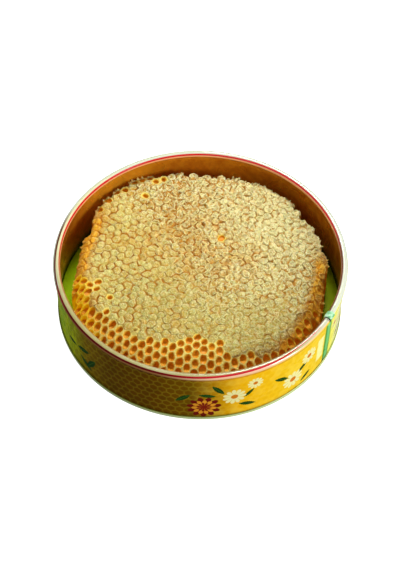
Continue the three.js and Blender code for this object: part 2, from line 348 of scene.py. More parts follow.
class Comb:
    """One closed surface: the border that the cells share, caps, open cells and the side, added
    as blocks of points with named values."""

    def __init__(self, cells):
        """The border between caps is a groove of uneven depth, or on some edges a bridge of wax
        that stands up; round an open cell it is a lip, lower where its edge crosses a steep
        shoulder. At the outline it ends in torn points."""
        self.cells, self.count, self.points, self.faces = cells, 0, [], []
        self.values = {label: [] for label in ("gap", "hollow", "open", "crest", "tone", "side")}
        x, y = cells.x, cells.y
        openness = cells.share(cells.open.astype(float))
        at_outline = np.zeros(cells.points)
        at_outline[cells.outline] = 1
        wild = restless(x, y)
        groove = mix(-0.34, -0.56, wild) - 0.42 * soft_noise(x, y, 3.7, 9)
        groove = groove * mix(0.35, 1.15, cells.edge_name)
        joined = mix(0.34, 0.50, wild)
        bridge = mix(0.30, mix(0.62, 1.05, wild), cells.edge_name / joined)
        groove = np.where(cells.edge_name < joined, bridge, groove)
        lip = 0.34 - (2.6 * cells.crosswise * slope_of_shoulder(x, y)
                      * (0.4 + 0.8 * uneven(3 * x, 3 * y)))
        self.border_rise = mix(groove, lip, openness)
        spike = unit(scatter_value(np.floor(x * 7), np.floor(y * 7), 3) - 0.35)
        torn = at_outline * (0.3 + 3.0 * spike ** 1.6)
        self.border = np.stack([x, y, comb_height(x, y) + self.border_rise + torn], -1)
        # Bridges that stand high are pale along their tops: a painted highlight.
        self.ridge = np.clip(1.6 * (groove - 0.55), 0, 0.9) * (1 - openness)
        tone = rng.random(cells.count) ** 1.2
        # Towards the back right the caps are paler and their grooves fainter: partly paler wax, partly
        # painted light.
        self.tone = unit(tone - 0.45 * blob(*cells.middle.T, 55, 45, 50))
        calm = unit(0.75 * blob(x, y, 30, -48, 40) + 0.45 * blob(x, y, -22, -42, 34))
        paler_back_right = blob(x, y, 52, 44, 46)
        # The grooves' amber grows with their depth: partly the wax's own colour, partly painted shade.
        self.gap = ((1 - openness) * (1 - 0.8 * at_outline) * unit(0.30 - 0.90 * groove)
                    * (1 - 0.6 * calm) * (1 - 0.35 * paler_back_right))
        self.add(self.border, gap=self.gap, open=openness, tone=cells.share(self.tone),
                 crest=np.maximum(0.5 * at_outline, self.ridge))

    def add(self, points, **values):
        """Adds a block of points with its values, 0 where none are given, and returns the
        points' numbers in the block's own shape."""
        shape = points.shape[:-1]
        for label, blocks in self.values.items():
            blocks.append(np.broadcast_to(values.get(label, 0.0), shape).ravel())
        self.points.append(points.reshape(-1, 3))
        numbers = self.count + np.arange(math.prod(shape)).reshape(shape)
        self.count += numbers.size
        return numbers

    def add_cells(self, chosen, rings, centre, opened, wet=()):
        """Adds the rings and middles of a kind of cell, with columns for x, y, z, gap, hollow and
        crest, and joins each cell's border, rings and middle. `wet` names the bands of honey."""
        def block(points, tone, opened):
            gap, hollow, crest = np.moveaxis(points[..., 3:], -1, 0)
            return self.add(points[..., :3], gap=gap, hollow=hollow, crest=crest, tone=tone, open=opened)

        tone = self.tone[chosen]
        numbers = block(rings, tone[:, None, None], opened[:, None, None])
        hub = block(centre, tone, opened)
        outer = self.cells.border[chosen]
        for level, inner in enumerate(np.moveaxis(numbers, 1, 0)):
            quads = np.stack([outer, np.roll(outer, -1, 1), np.roll(inner, -1, 1), inner], -1)
            self.faces.append((quads.reshape(-1, 4), int(level in wet)))
            outer = inner
        fan = np.stack([outer, np.roll(outer, -1, 1), np.repeat(hub[:, None], AROUND, 1)], -1)
        self.faces.append((fan.reshape(-1, 3), int(rings.shape[1] in wet)))

    def from_middles(self, chosen):
        """The chosen cells' middles, and their border points' distance, direction and angle from
        them, with the mean distance."""
        middle = self.cells.middle[chosen]
        offset = self.border[self.cells.border[chosen], :2] - middle[:, None]
        length = np.hypot(offset[..., 0], offset[..., 1])
        angle = np.arctan2(offset[..., 1], offset[..., 0])
        return middle, length, offset / length[..., None], angle, length.mean(1, keepdims=True)

    def add_caps(self):
        """A cap rises from its border as 1 - f^3, f being the share of the way from its middle,
        shifted and with uneven lobes. It leans, and has a round dent, a raised crescent
        e^-((f - level) / 0.15)^2 on one side, and wrinkles where noise crosses zero; all of them
        grow where the comb is restless."""
        chosen = np.flatnonzero(~self.cells.open)
        middle, length, direction, angle, even_length = self.from_middles(chosen)
        count, around = len(chosen), self.cells.border[chosen]

        def draw(low, high):
            return rng.uniform(low, high, (count, 1))

        def scattered(columns):
            return rng.normal(0, 1, (count, columns))

        wild = restless(*middle.T)[:, None]
        rise = draw(0.60, 1.05) * mix(0.92, 1.0, wild)
        rise = rise + scattered(1) * mix(0.14, 0.24, wild)
        size = draw(mix(0.88, 0.76, wild), mix(1.03, 1.0, wild))
        shift = np.clip(scattered(2), -1.6, 1.6) * mix(0.28, 0.45, wild)
        tilt = scattered(2) * mix(0.12, 0.21, wild)
        lobes = (1 + mix(0.07, 0.12, wild) * np.sin(2 * angle + draw(0, 6.3))
                 + mix(0.06, 0.10, wild) * np.sin(3 * angle + draw(0, 6.3)))
        toward = unit(np.cos(angle - rng.normal(1.3, mix(0.7, 1.3, wild), (count, 1))))
        crescent = mix(draw(0, 0.55), draw(0.10, 1.05), wild)
        crescent_level = draw(0.56, 0.84)
        dented = rng.random((count, 1)) < mix(0.35, 0.70, wild)
        dent = np.where(dented, draw(0.35, 1.05), 0.08) * mix(0.6, 1.0, wild)
        pierced = near(*middle.T, PIERCED, PITCH / 2)[:, None]
        raised = np.clip(self.border_rise, 0, 1.1)[around]
        rings = []
        for level in CAP_RINGS + (0.0,):
            reach = np.minimum(mix(length, even_length, 0.6 * (1 - level)) * level * size * lobes,
                               0.94 * length)
            place = (middle[:, None] + direction * reach[..., None]
                     + shift[:, None] * (1 - level ** 2.5))
            px, py = np.moveaxis(place, -1, 0)
            leaning = (tilt[:, None] * (place - middle[:, None])).sum(-1)
            ring_up = crescent * toward ** 0.8 * np.exp(-((level - crescent_level) / 0.15) ** 2)
            sunk = dent * math.exp(-(level / 0.42) ** 2)
            crease = (1 - np.abs(soft_noise(px, py, 2.1, 21))) ** 3.0
            wrinkle = (crease - 0.35) * mix(0.58, 1.05, wild)
            grain = 0.26 * soft_noise(px, py, 1.1, 23)
            hole = 1.0 * pierced * (level < 0.4)
            height = (comb_height(px, py) + rise * (1 - level ** 3.0) + raised * level ** 3
                      - 1.6 * hole + (leaning + ring_up - sunk + wrinkle + grain) * (1 - level ** 8))
            blotch = unit(soft_noise(px, py, 2.6, 27) - 0.1) * mix(0.3, 0.9, wild)
            # Painted shade: darker amber towards the grooves and in the dents, less on raised crescents
            # and wrinkles, with random blotches.
            shade = unit(self.gap[around] * eased((level - 0.58) / 0.42) + 0.50 * sunk
                         + blotch * 0.6 - 0.9 * ring_up - 0.6 * np.maximum(wrinkle, 0))
            # Painted highlight on raised crescents, wrinkles and high bridges, and more of it towards the
            # back right.
            pale = np.clip(1.1 * ring_up + 1.3 * np.maximum(wrinkle - 0.10, 0)
                           + self.ridge[around] * level ** 8
                           + 0.80 * blob(px, py, 52, 44, 46) * (1 - level ** 6), 0, 0.95)
            rings.append(np.stack([px, py, height, shade, 0.7 * hole + 0 * px, pale], -1))
        rings = np.stack(rings, 1)                   # cell, ring, around, columns
        self.add_cells(chosen, rings[:, :-1], rings[:, -1].mean(1), 0.5 * pierced[:, 0])
        return np.concatenate([self.border[around][:, None], rings[:, :-1, :, :3]], 1)

    def add_open_cells(self):
        """An open cell turns from six-sided to a slightly oval round over its lip and drops to its
        honey. The walls are thin along the front and thicker at the left; on a steep shoulder the
        wall across the slope is thin, and the outer side is cut low."""
        chosen = np.flatnonzero(self.cells.open)
        middle, length, direction, angle, even_length = self.from_middles(chosen)
        count, (mx, my) = len(chosen), middle.T
        azimuth = azimuth_of(mx, my)
        thin = eased((azimuth + 164) / 44) * (azimuth < 60)
        thin = unit(thin + rng.uniform(-0.35, 0.25, count))[:, None]
        wall = rng.uniform(0.65, 1.8, (count, 1))
        oval = rng.uniform(0.04, 0.30, (count, 1))
        outward = np.radians(azimuth)[:, None]
        long_way = outward + rng.normal(0, 0.35, (count, 1))
        depth = PIT_DEPTH * rng.uniform(0.7, 1.05, count)
        for cx, cy, shallow in SHALLOW:
            depth[np.hypot(mx - cx, my - cy) < PITCH / 2] = shallow
        honey_height = comb_height(mx, my) - depth
        steep = unit(1.7 * slope_of_shoulder(mx, my))[:, None]
        facing_out = steep * unit(0.25 + 0.75 * np.cos(angle - outward))
        crosswise = self.cells.crosswise[self.cells.border[chosen]]
        rings = []
        for thick_share, thin_share, roundness, drop, down, deep in PIT_RINGS:
            share = 1 - (1 - mix(thick_share, thin_share, thin)) * mix(1.0, wall, 0.4 + 0.6 * roundness)
            share = mix(share, 0.93, 0.75 * steep * crosswise)
            reach = (mix(length, even_length, roundness) * share
                     * (1 + oval * roundness * np.cos(2 * (angle - long_way))))
            reach = np.minimum(reach, (0.96 - 0.04 * roundness) * length)
            px, py = np.moveaxis(middle[:, None] + direction * reach[..., None], -1, 0)
            lip = comb_height(px, py) - drop + 0.14 * soft_noise(px, py, 1.7, 31)
            z = mix(lip, honey_height[:, None], down * (1 - 0.5 * facing_out))
            rings.append(np.stack([px, py, z, 0 * px, deep * (1 - 0.6 * facing_out), 0 * px], -1))
        centre = np.stack([mx, my, honey_height - 0.2, 0 * mx, 0 * mx + 1, 0 * mx], -1)
        self.add_cells(chosen, np.stack(rings, 1), centre, np.ones(count), HONEY_BANDS)

    def add_side(self):
        """From each point of the outline the side goes down in rows to the foot, its radius
        turning towards the plan's with a bulge of sin(pi * down), so that the border's zigzag
        carries on as ribs. Returns the outline's points."""
        outline_points = np.unique(self.cells.outline)
        top = self.border[outline_points]
        x, y, top_z = top.T
        radius, azimuth, plan_edge = np.hypot(x, y), np.arctan2(y, x), plan(x, y, EDGE)
        down = np.linspace(0, 1, SIDE_ROWS + 1)[1:, None]
        z = mix(top_z, COMB_FOOT, down ** 0.9)
        bulge = np.sin(np.pi * down) * (0.5 + 0.45 * soft_noise(azimuth * 90 + 0 * down, z * 0.7, 3.1, 41))
        out = mix(radius, plan_edge, FOOT_BLEND * down) + bulge
        turn = azimuth + 0.010 * np.sin(np.pi * down / 2)
        rows = self.add(np.stack([out * np.cos(turn), out * np.sin(turn), z], -1),
                        crest=unit((radius - plan_edge) / 2.2 + 0.5), tone=0.5, side=eased(down * 3))
        hub = self.add(np.array([[0, 0, COMB_FOOT]]), tone=0.5, side=1.0)
        upper = self.cells.outline
        for row in rows:
            lower = row[np.searchsorted(outline_points, self.cells.outline)]
            self.faces.append(np.concatenate([lower, upper[:, ::-1]], 1))
            upper = lower
        self.faces.append(np.concatenate([np.full((len(upper), 1), hub), upper[:, ::-1]], 1))
        return top

    def finish(self, wax, honey):
        """Puts the surface into the scene, with values for its amber and restless parts and for the
        painted shade along its front.
        """
        points = np.concatenate(self.points)
        x, y = points[:, 0], points[:, 1]
        values = {label: np.concatenate(blocks) for label, blocks in self.values.items()}
        amber, tone = amber_of(x, y), values["tone"]
        values["amber"] = amber * mix(0.45 + 0.9 * tone, 0.85 + 0.3 * tone, unit((amber - 0.72) / 0.3))
        values["crest"] *= 1 - 0.7 * right_flank(x, y)
        values["restless"], values["dull"] = restless(x, y), dull_of(x, y)
        return put("honeycomb_piece", points, self.faces, [wax, honey], values)


def tubes(name, points, material, crest):
    """Closed tubes from an array of tubes, steps, points round the section and xyz."""
    count, steps, around = points.shape[:3]
    start = (np.arange(count) * steps * around)[:, None, None]
    quads = (start + grid_faces(steps, around)[None]).reshape(-1, 4)
    first = start[:, 0] + np.arange(around)[::-1]
    last = start[:, 0] + (steps - 1) * around + np.arange(around)
    flat = points.reshape(-1, 3)
    x, y = flat[:, 0], flat[:, 1]
    values = {label: 0 * x for label in ("gap", "hollow", "open", "side", "restless")}
    values.update(amber=amber_of(x, y), dull=dull_of(x, y),
                  tone=np.repeat(rng.random(count), steps * around),
                  crest=np.repeat(crest + np.zeros(count), steps * around))
    return put(name, flat, [quads, first, last], [material], values)


def make_wax_threads(caps, wax):
    """Raised threads of wax, most of them where the comb is restless. Each is a half-round
    section of five points carried along nine steps, radius = width * sin(pi * share)^0.6. Most
    follow a cap's rings, drifting in and out; the others are loose arcs across the grooves."""
    count = len(caps)
    middle = caps[:, 1].mean(1)
    wild = restless(middle[:, 0], middle[:, 1])
    share = np.linspace(0, 1, THREAD_STEPS)
    paths = []
    for likely in (1.0, 0.6, 0.35):
        chosen = np.flatnonzero(rng.random(count) < mix(0.24, 0.80, wild) * likely)
        begin = rng.integers(0, AROUND, (len(chosen), 1))
        column = begin + rng.uniform(0.35, 1.1, (len(chosen), 1)) * share * (THREAD_STEPS - 1)
        row = rng.uniform(1.0, 3.3, (len(chosen), 1)) + 0.6 * np.sin(share * 5 + begin)
        row = np.clip(row, 0.8, 3.9)
        low, inner = np.floor(column).astype(int), np.floor(row).astype(int)
        one, other = (
            mix(caps[chosen[:, None], ring, low % AROUND], caps[chosen[:, None], ring, (low + 1) % AROUND],
                (column - low)[..., None])
            for ring in (inner, np.minimum(inner + 1, caps.shape[1] - 1)))
        paths.append(mix(one, other, (row - inner)[..., None]) + [0, 0, 0.16])
    chosen = np.flatnonzero(rng.random(count) < mix(0.03, 0.5, wild))
    first = caps[chosen, 1, 0]
    turn = rng.uniform(0, 2 * np.pi, (len(chosen), 1)) + np.cumsum(
        rng.normal(0, 0.35, (len(chosen), THREAD_STEPS)), 1)
    pace = rng.uniform(0.3, 0.75, (len(chosen), 1))
    x = first[:, :1] + np.cumsum(np.cos(turn) * pace, 1)
    y = first[:, 1:2] + np.cumsum(np.sin(turn) * pace, 1)
    inside = (np.hypot(x, y) < plan(x, y, EDGE) - 2).all(1)
    z = comb_height(x, y) + 0.75 + 0.45 * soft_noise(x, y, 2.5, 61) + 0.25 * np.sin(np.pi * share)
    path = np.concatenate(paths + [np.stack([x, y, z], -1)[inside]])
    start_x, start_y = path[:, 0, 0], path[:, 0, 1]
    wild = restless(start_x, start_y)
    width = rng.uniform(0.22, 0.44, len(path)) * mix(0.9, 1.3, wild)
    radius = width[:, None] * np.sin(np.pi * np.clip(share, 0.03, 0.97)) ** 0.6
    ahead = np.gradient(path, axis=1)
    ahead /= np.linalg.norm(ahead, axis=-1, keepdims=True)
    across = np.stack([-ahead[..., 1], ahead[..., 0], 0 * ahead[..., 0]], -1)
    across /= np.linalg.norm(across, axis=-1, keepdims=True)
    turns = np.radians([-25, 35, 90, 145, 205])[:, None]
    section = across[..., None, :] * np.cos(turns) + np.array([0, 0, 0.95]) * np.sin(turns)
    # How strong the threads' painted highlight is.
    bright = mix(0.5, 0.9, wild) * (1 - 0.6 * right_flank(start_x, start_y))
    return tubes("wax_threads", path[..., None, :] + section * radius[..., None, None], wax, bright)


def make_torn_edges(top, wax):
    """Small torn points of wax that stand out from the comb's outline: a five-sided section
    carried outwards and up along a bent path, radius = foot * (1.04 - share)^0.8."""
    azimuth = azimuth_of(top[:, 0], top[:, 1])
    high = (azimuth > -14) | (azimuth < -172)
    outermost = np.hypot(top[:, 0], top[:, 1]) > plan(top[:, 0], top[:, 1], EDGE) - 1.2
    chosen = top[outermost & (rng.random(len(top)) < np.where(high, 0.60, 0.14))]
    count, steps, around = len(chosen), 5, 5
    share = np.linspace(0, 1, steps)
    outward = chosen[:, :2] / np.hypot(chosen[:, 0], chosen[:, 1])[:, None]
    sideways = np.stack([-outward[:, 1], outward[:, 0]], -1)
    reach = rng.uniform(1.0, 2.2, (count, 1)) * share - 0.8
    sway = rng.uniform(-0.8, 0.8, (count, 1)) * share
    flat = chosen[:, None, :2] + outward[:, None] * reach[..., None] + sideways[:, None] * sway[..., None]
    height = rng.uniform(0.0, 1.3, (count, 1)) * share ** 1.3 - 0.35
    path = np.concatenate([flat, (chosen[:, None, 2] + height)[..., None]], -1)
    foot = rng.uniform(0.9, 1.5, (count, 1)) * (1.04 - share) ** 0.8
    turns = (np.arange(around) / around * 2 * np.pi)[:, None]
    ring = sideways[:, None, None] * np.cos(turns)
    rise = np.broadcast_to(np.sin(turns) * 0.40, ring.shape[:-1] + (1,))
    ring = np.concatenate([ring, rise], -1)
    return tubes("torn_wax_edges", path[:, :, None] + ring * foot[..., None, None], wax, 0.5)


# ---- The tin ----

def arc_points(radius, height, section, start, end, steps):
    """Points of radius and height on an arc of a round section, between two angles in degrees."""
    turn = np.radians(np.linspace(start, end, steps))
    return np.stack([radius + section * np.cos(turn), height + section * np.sin(turn)], -1)


def round_axis(profile, azimuths):
    """A profile of radius and height carried round the axis: x = r cos a, y = r sin a."""
    turn = np.radians(azimuths)[:, None]
    r, z = profile[:, 0], profile[:, 1]
    return np.stack([r * np.cos(turn), r * np.sin(turn), z + 0 * turn], -1)


def make_tin_wall(print_look, rim_look, lining_look):
    """The body: up the outside, round the rolled rim, back inside the roll, and down the inside.
    The corner notch beside the seam presses the top of the roll down between two azimuths."""
    hollow, bottom = CURL_SECTION - SHEET, 1.0
    outside_leaves = -math.degrees(math.acos((WALL_OUTSIDE - CURL_RADIUS) / CURL_SECTION))
    inside_leaves = -math.degrees(math.acos((WALL_INSIDE - CURL_RADIUS) / hollow))
    profile = np.concatenate([
        np.stack([np.full(WALL_POINTS, WALL_OUTSIDE), np.linspace(bottom, 44.2, WALL_POINTS)], -1),
        arc_points(CURL_RADIUS, CURL_HEIGHT, CURL_SECTION, outside_leaves, CURL_LIP, ROLL_OUT),
        arc_points(CURL_RADIUS, CURL_HEIGHT, hollow, CURL_LIP, inside_leaves, ROLL_IN),
        np.stack([np.full(WALL_POINTS, WALL_INSIDE), np.linspace(44.3, bottom, WALL_POINTS)], -1)])
    # Degrees round the roll, with one value for the outside below it and one for the inside.
    roll = np.concatenate([np.full(WALL_POINTS, -90.0), np.linspace(outside_leaves, CURL_LIP, ROLL_OUT),
                           np.full(ROLL_IN + WALL_POINTS, 260.0)])
    half_notch = math.degrees(NOTCH_WIDTH / 2 / CURL_RADIUS)
    notch_at = SEAM_AZIMUTH + math.degrees(NOTCH_AT / CURL_RADIUS)
    notch_edges = notch_at + half_notch * np.array([-1.08, -1, 1, 1.08])
    azimuths = SEAM_AZIMUTH + np.arange(WALL_AROUND) * (360 / WALL_AROUND)
    azimuths = np.sort(np.append(azimuths, notch_edges))
    places = round_axis(profile, azimuths)
    count, width = places.shape[:2]
    in_notch = (np.abs(azimuths - notch_at) < half_notch * 1.01)[:, None]
    outer_end = WALL_POINTS + ROLL_OUT
    limit = (CURL_HEIGHT + CURL_SECTION - NOTCH_DEPTH
             - np.where(np.arange(width) < outer_end, 0, 0.3))
    lowered = np.minimum(places[..., 2], limit)
    places[..., 2] = np.where(in_notch & (profile[:, 1] > 44.4), lowered, places[..., 2])
    # Rows are azimuths, columns the profile; both join up.
    faces = grid_faces(count + 1, width)
    column = faces[:, 0] % width
    group = np.where(column < WALL_POINTS - 1, 0, np.where(column < outer_end - 1, 1, 2))
    faces = (faces % (count * width))[:, ::-1]
    values = {"roll": np.broadcast_to(roll / 360, (count, width)),
              "notch": (in_notch & (profile[:, 1] > 46)).astype(float)}
    return put("printed_tin_wall", places.reshape(-1, 3), [(faces[group == k], k) for k in range(3)],
               [print_look, rim_look, lining_look], values)


def make_tin_base(lacquer):
    """The base: a flat floor, a foot ring under its edge, and round the ring a groove for the
    wall's foot and the edge turned up outside it."""
    under = FLOOR - SHEET
    leg_out, leg_in = WALL_INSIDE - 0.3, WALL_INSIDE - 1.1
    flange_in, flange_out = WALL_OUTSIDE + 0.3, WALL_OUTSIDE + 0.8
    middle_out = np.linspace(leg_out - 0.6, 4, 24)
    profile = np.concatenate([
        [[4, under], [leg_in - 0.2, under], [leg_in, under - 0.2], [leg_in, 0.2], [leg_in + 0.2, 0]],
        arc_points(flange_out - 0.4, 0.4, 0.4, -90, 0, 6),
        arc_points(flange_out - 0.25, FLANGE_TOP - 0.25, 0.25, 0, 180, 9),
        [[flange_in, 0.7], [leg_out, 0.7], [leg_out, FLOOR - 0.15], [leg_out - 0.15, FLOOR]],
        np.stack([middle_out, 0 * middle_out + FLOOR], -1)])
    places = round_axis(profile, np.arange(BASE_AROUND) * (360 / BASE_AROUND))
    count, width = places.shape[:2]
    faces = grid_faces(count + 1, width, closed=False) % (count * width)
    hub = np.full(count, count * width)
    here = np.arange(count) * width
    after = np.roll(here, -1)
    under_fan = np.stack([hub, after, here], -1)
    top_fan = np.stack([hub + 1, here + width - 1, after + width - 1], -1)
    points = np.concatenate([places.reshape(-1, 3), [[0, 0, under], [0, 0, FLOOR]]])
    return put("lacquered_tin_base", points, [faces[:, ::-1], under_fan, top_fan], [lacquer])


def make_lock_seam(look):
    """The folded seam. A low section, height = proud * (1 - |w|^8) over its half width w with a
    shallow furrow where the fold ends, is carried up the wall; a narrower one goes on over the
    roll as a tongue, from the outer side of the roll round to its inner side."""
    share = np.linspace(-1, 1, 21)
    furrow = 0.16 * np.exp(-((share + 0.62) / 0.07) ** 2) + 0.12 * np.exp(-((share - 0.45) / 0.08) ** 2)
    wall_path = np.stack([np.full(SEAM_ROWS, WALL_OUTSIDE),
                          np.linspace(FLANGE_TOP + 0.2, 44.9, SEAM_ROWS)], -1)
    roll_path = arc_points(CURL_RADIUS, CURL_HEIGHT, CURL_SECTION, 8, 205, TONGUE_ROWS)
    points, faces, across, on_rolls, start = [], [], [], [], 0
    for path, middle, width, proud, on_roll in (
            (wall_path, 0.0, SEAM_WIDTH, SEAM_PROUD, 0.0),
            (roll_path, TONGUE_AT, TONGUE_WIDTH, TONGUE_PROUD, 1.0)):
        ahead = np.gradient(path, axis=0)
        ahead /= np.linalg.norm(ahead, axis=1, keepdims=True)
        steps = np.linspace(0, 1, len(path))[:, None]
        ends = np.clip(np.minimum(steps, 1 - steps) * 14, 0.15, 1)
        top = (proud * (1 - np.abs(share) ** 8) - furrow * (1 - on_roll)) * ends
        top = top + on_roll * 0.16 * soft_noise(steps * 9, share * 2.2, 1.0, 51) * (1 - share ** 4)
        height = np.concatenate([top, np.full(top.shape, -0.3)], 1)
        place = np.concatenate([share, share[::-1]])
        radius, z = path[:, :1] + ahead[:, 1:] * height, path[:, 1:] - ahead[:, :1] * height
        turn = math.radians(SEAM_AZIMUTH) + (middle + place * width / 2) / WALL_OUTSIDE
        points.append(np.stack([radius * np.cos(turn), radius * np.sin(turn), z], -1).reshape(-1, 3))
        rows, columns = radius.shape
        first = start + np.arange(columns)[None]
        faces += [grid_faces(rows, columns, start), first[:, ::-1], first + (rows - 1) * columns]
        across.append(np.tile(place * 0.5 + 0.5, rows))
        on_rolls.append(np.full(rows * columns, on_roll))
        start += rows * columns
    values = {"across": np.concatenate(across), "roll": np.concatenate(on_rolls)}
    return put("lock_seam", np.concatenate(points), faces, [look], values)


# ---- Materials ----

def colour(red, green, blue):
    """Linear colour, with alpha, from screen values up to 255."""
    screen = np.array([red, green, blue]) / 255
    linear = np.where(screen <= 0.04045, screen / 12.92, ((screen + 0.055) / 1.055) ** 2.4)
    return (*linear.tolist(), 1.0)


def feed(socket, source):
    """Joins a value to a socket, or sets the socket. Three numbers are a colour's screen values."""
    if isinstance(source, Value):
        source.nodes.tree.links.new(source.socket, socket)
    elif socket.type == "RGBA" and len(source) == 3:
        socket.default_value = colour(*source)
    else:
        socket.default_value = source


class Value:
    """A node's output, with which sums can be written as with a number: each step adds a node."""

    def __init__(self, nodes, socket):
        self.nodes, self.socket = nodes, socket

    def math(self, operation, other=0.0):
        return self.nodes.add("Math", {0: self, 1: other}, operation=operation)

    def __add__(self, other):
        return self.math("ADD", other)

    def __sub__(self, other):
        return self.math("SUBTRACT", other)

    def __rsub__(self, other):
        return self.nodes.add("Math", {0: other, 1: self}, operation="SUBTRACT")

    def __mul__(self, other):
        return self.math("MULTIPLY", other)

    def __truediv__(self, other):
        return self.math("DIVIDE", other)

    def __rtruediv__(self, other):
        return self.nodes.add("Math", {0: other, 1: self}, operation="DIVIDE")

    def __abs__(self):
        return self.math("ABSOLUTE")

    def spread(self, low, high, to_low=0.0, to_high=1.0):
        """Eases from one value to another while this one goes from low to high."""
        return self.nodes.add("MapRange", {0: self, 1: low, 2: high, 3: to_low, 4: to_high},
                              interpolation_type="SMOOTHSTEP")

    def line(self, middle, half, soft=2.0):
        """1 within a band round a middle value, with a soft edge."""
        return abs(self - middle).spread(half + soft, half - soft)

    def ramp(self, rows):
        """Colours that flow into each other, in rows of a place from 0 to 1 and a colour."""
        node = self.nodes.tree.nodes.new("ShaderNodeValToRGB")
        feed(node.inputs[0], self)
        stops = node.color_ramp.elements
        for place, shade in rows:
            stop = stops.new(place) if 0 < place < 1 else stops[-int(place)]
            stop.color = colour(*shade)
        return Value(self.nodes, node.outputs[0])


def blend(share, a, b, how="MIX"):
    """Colour a, and the more of colour b the greater the share."""
    return share.nodes.add("Mix", {0: share, 6: a, 7: b}, 2, data_type="RGBA", blend_type=how)


def degrees(a, b):
    """The angle whose tangent is a / b."""
    return a.math("ARCTAN2", b).math("DEGREES")


def distance(a, b):
    """The root of the sum of both squares."""
    return (a * a + b * b).math("SQRT")


class Nodes:
    """A tree, and short ways to add nodes to it."""

    def __init__(self, tree):
        self.tree = tree

    def add(self, kind, inputs=None, output=0, **settings):
        """Adds a node with its settings and inputs, and returns one of its outputs."""
        node = self.tree.nodes.new("ShaderNode" + kind)
        for name, value in settings.items():
            setattr(node, name, value)
        for name, source in (inputs or {}).items():
            feed(node.inputs[name], source)
        return Value(self, node.outputs[output])

    def use(self, group, **inputs):
        """Adds a group's node, and returns its outputs by name."""
        node = self.tree.nodes.new("ShaderNodeGroup")
        node.node_tree = group.tree
        for name, source in inputs.items():
            feed(node.inputs[name], source)
        return {output.name: Value(self, output) for output in node.outputs}

    def value(self, label):
        return self.add("Attribute", output="Fac", attribute_name=label)

    def noise(self, where, scale, detail=3.0, rough=0.55, **more):
        return self.add("TexNoise", {"Vector": where, "Scale": scale, "Detail": detail,
                                     "Roughness": rough, **more}, "Fac")

    def place(self):
        """Object coordinates, in metres."""
        return self.add("TexCoord", output="Object")

    def xyz(self):
        """Object coordinates, one by one."""
        place = self.place()
        return [self.add("SeparateXYZ", {0: place}, axis) for axis in "XYZ"]

    def grain(self, size):
        """Height and mottle of fine grain of a size in metres."""
        return self.use(GRAIN, Place=self.place(), Size=size).values()

    def bump(self, height, strength, distance):
        return self.add("Bump", {"Height": height, "Strength": strength, "Distance": distance})


class Look(Nodes):
    """A material with its own Principled shader, whose plain sockets are set straight away."""

    def __init__(self, name, **plain):
        self.material = bpy.data.materials.new(name)
        self.material.use_nodes = True
        super().__init__(self.material.node_tree)
        self.done(**plain)

    def done(self, **sockets):
        """Feeds the shader's sockets, and returns the material."""
        shader = self.tree.nodes["Principled BSDF"]
        for label, source in sockets.items():
            feed(shader.inputs[label.replace("_", " ")], source)
        return self.material


class Group(Nodes):
    """A node group with named inputs and outputs: Place is a vector, Ground a colour, and all the
    others are numbers."""

    KINDS = {"Place": "Vector", "Ground": "Color"}

    def __init__(self, name, inputs, outputs):
        super().__init__(bpy.data.node_groups.new(name, "ShaderNodeTree"))
        for labels, way in ((inputs, "INPUT"), (outputs, "OUTPUT")):
            for label in labels.split():
                kind = "NodeSocket" + self.KINDS.get(label, "Float")
                self.tree.interface.new_socket(label, in_out=way, socket_type=kind)
        sockets = self.tree.nodes.new("NodeGroupInput").outputs
        self.given = [Value(self, sockets[label]) for label in inputs.split()]
        self.result = self.tree.nodes.new("NodeGroupOutput").inputs

    def done(self, **outputs):
        """Feeds the group's outputs, and returns the group."""
        for label, source in outputs.items():
            feed(self.result[label], source)
        return self


def grain_group():
    """Fine uneven grain: two sizes of noise, as a height and as a mask."""
    group = Group("fine_grain", "Place Size", "Height Mottle")
    place, size = group.given
    scale = 1.0 / size
    return group.done(Height=group.noise(place, scale, 4.0, 0.6),
                      Mottle=group.noise(place, scale * 0.22, 2.0))


def crumple_group():
    """Crumpled wax: Line is 1 along the thin curved lines where smooth noise crosses its middle
    value, and Height is a broader crest along them."""
    group = Group("crumpled_wax", "Place Size", "Height Line")
    place, size = group.given
    wave = group.noise(place, 1.0 / size, 1.0, 0.5, Distortion=0.9)
    away = abs(wave - 0.5)
    return group.done(Line=away.spread(0.045, 0.010), Height=away.spread(0.12, 0.0))


def wrap_group():
    """Place on the wall, in millimetres: along it from the seam towards lower azimuths, and up."""
    group = Group("round_the_wall", "Place", "Along Up")
    x, y, z = (group.add("SeparateXYZ", {0: group.given[0]}, axis) for axis in "XYZ")
    from_seam = math.radians(SEAM_AZIMUTH) - y.math("ARCTAN2", x)
    along = from_seam.math("FLOORED_MODULO", 2 * math.pi) * WALL_OUTSIDE
    return group.done(Along=along, Up=z * 1000.0)


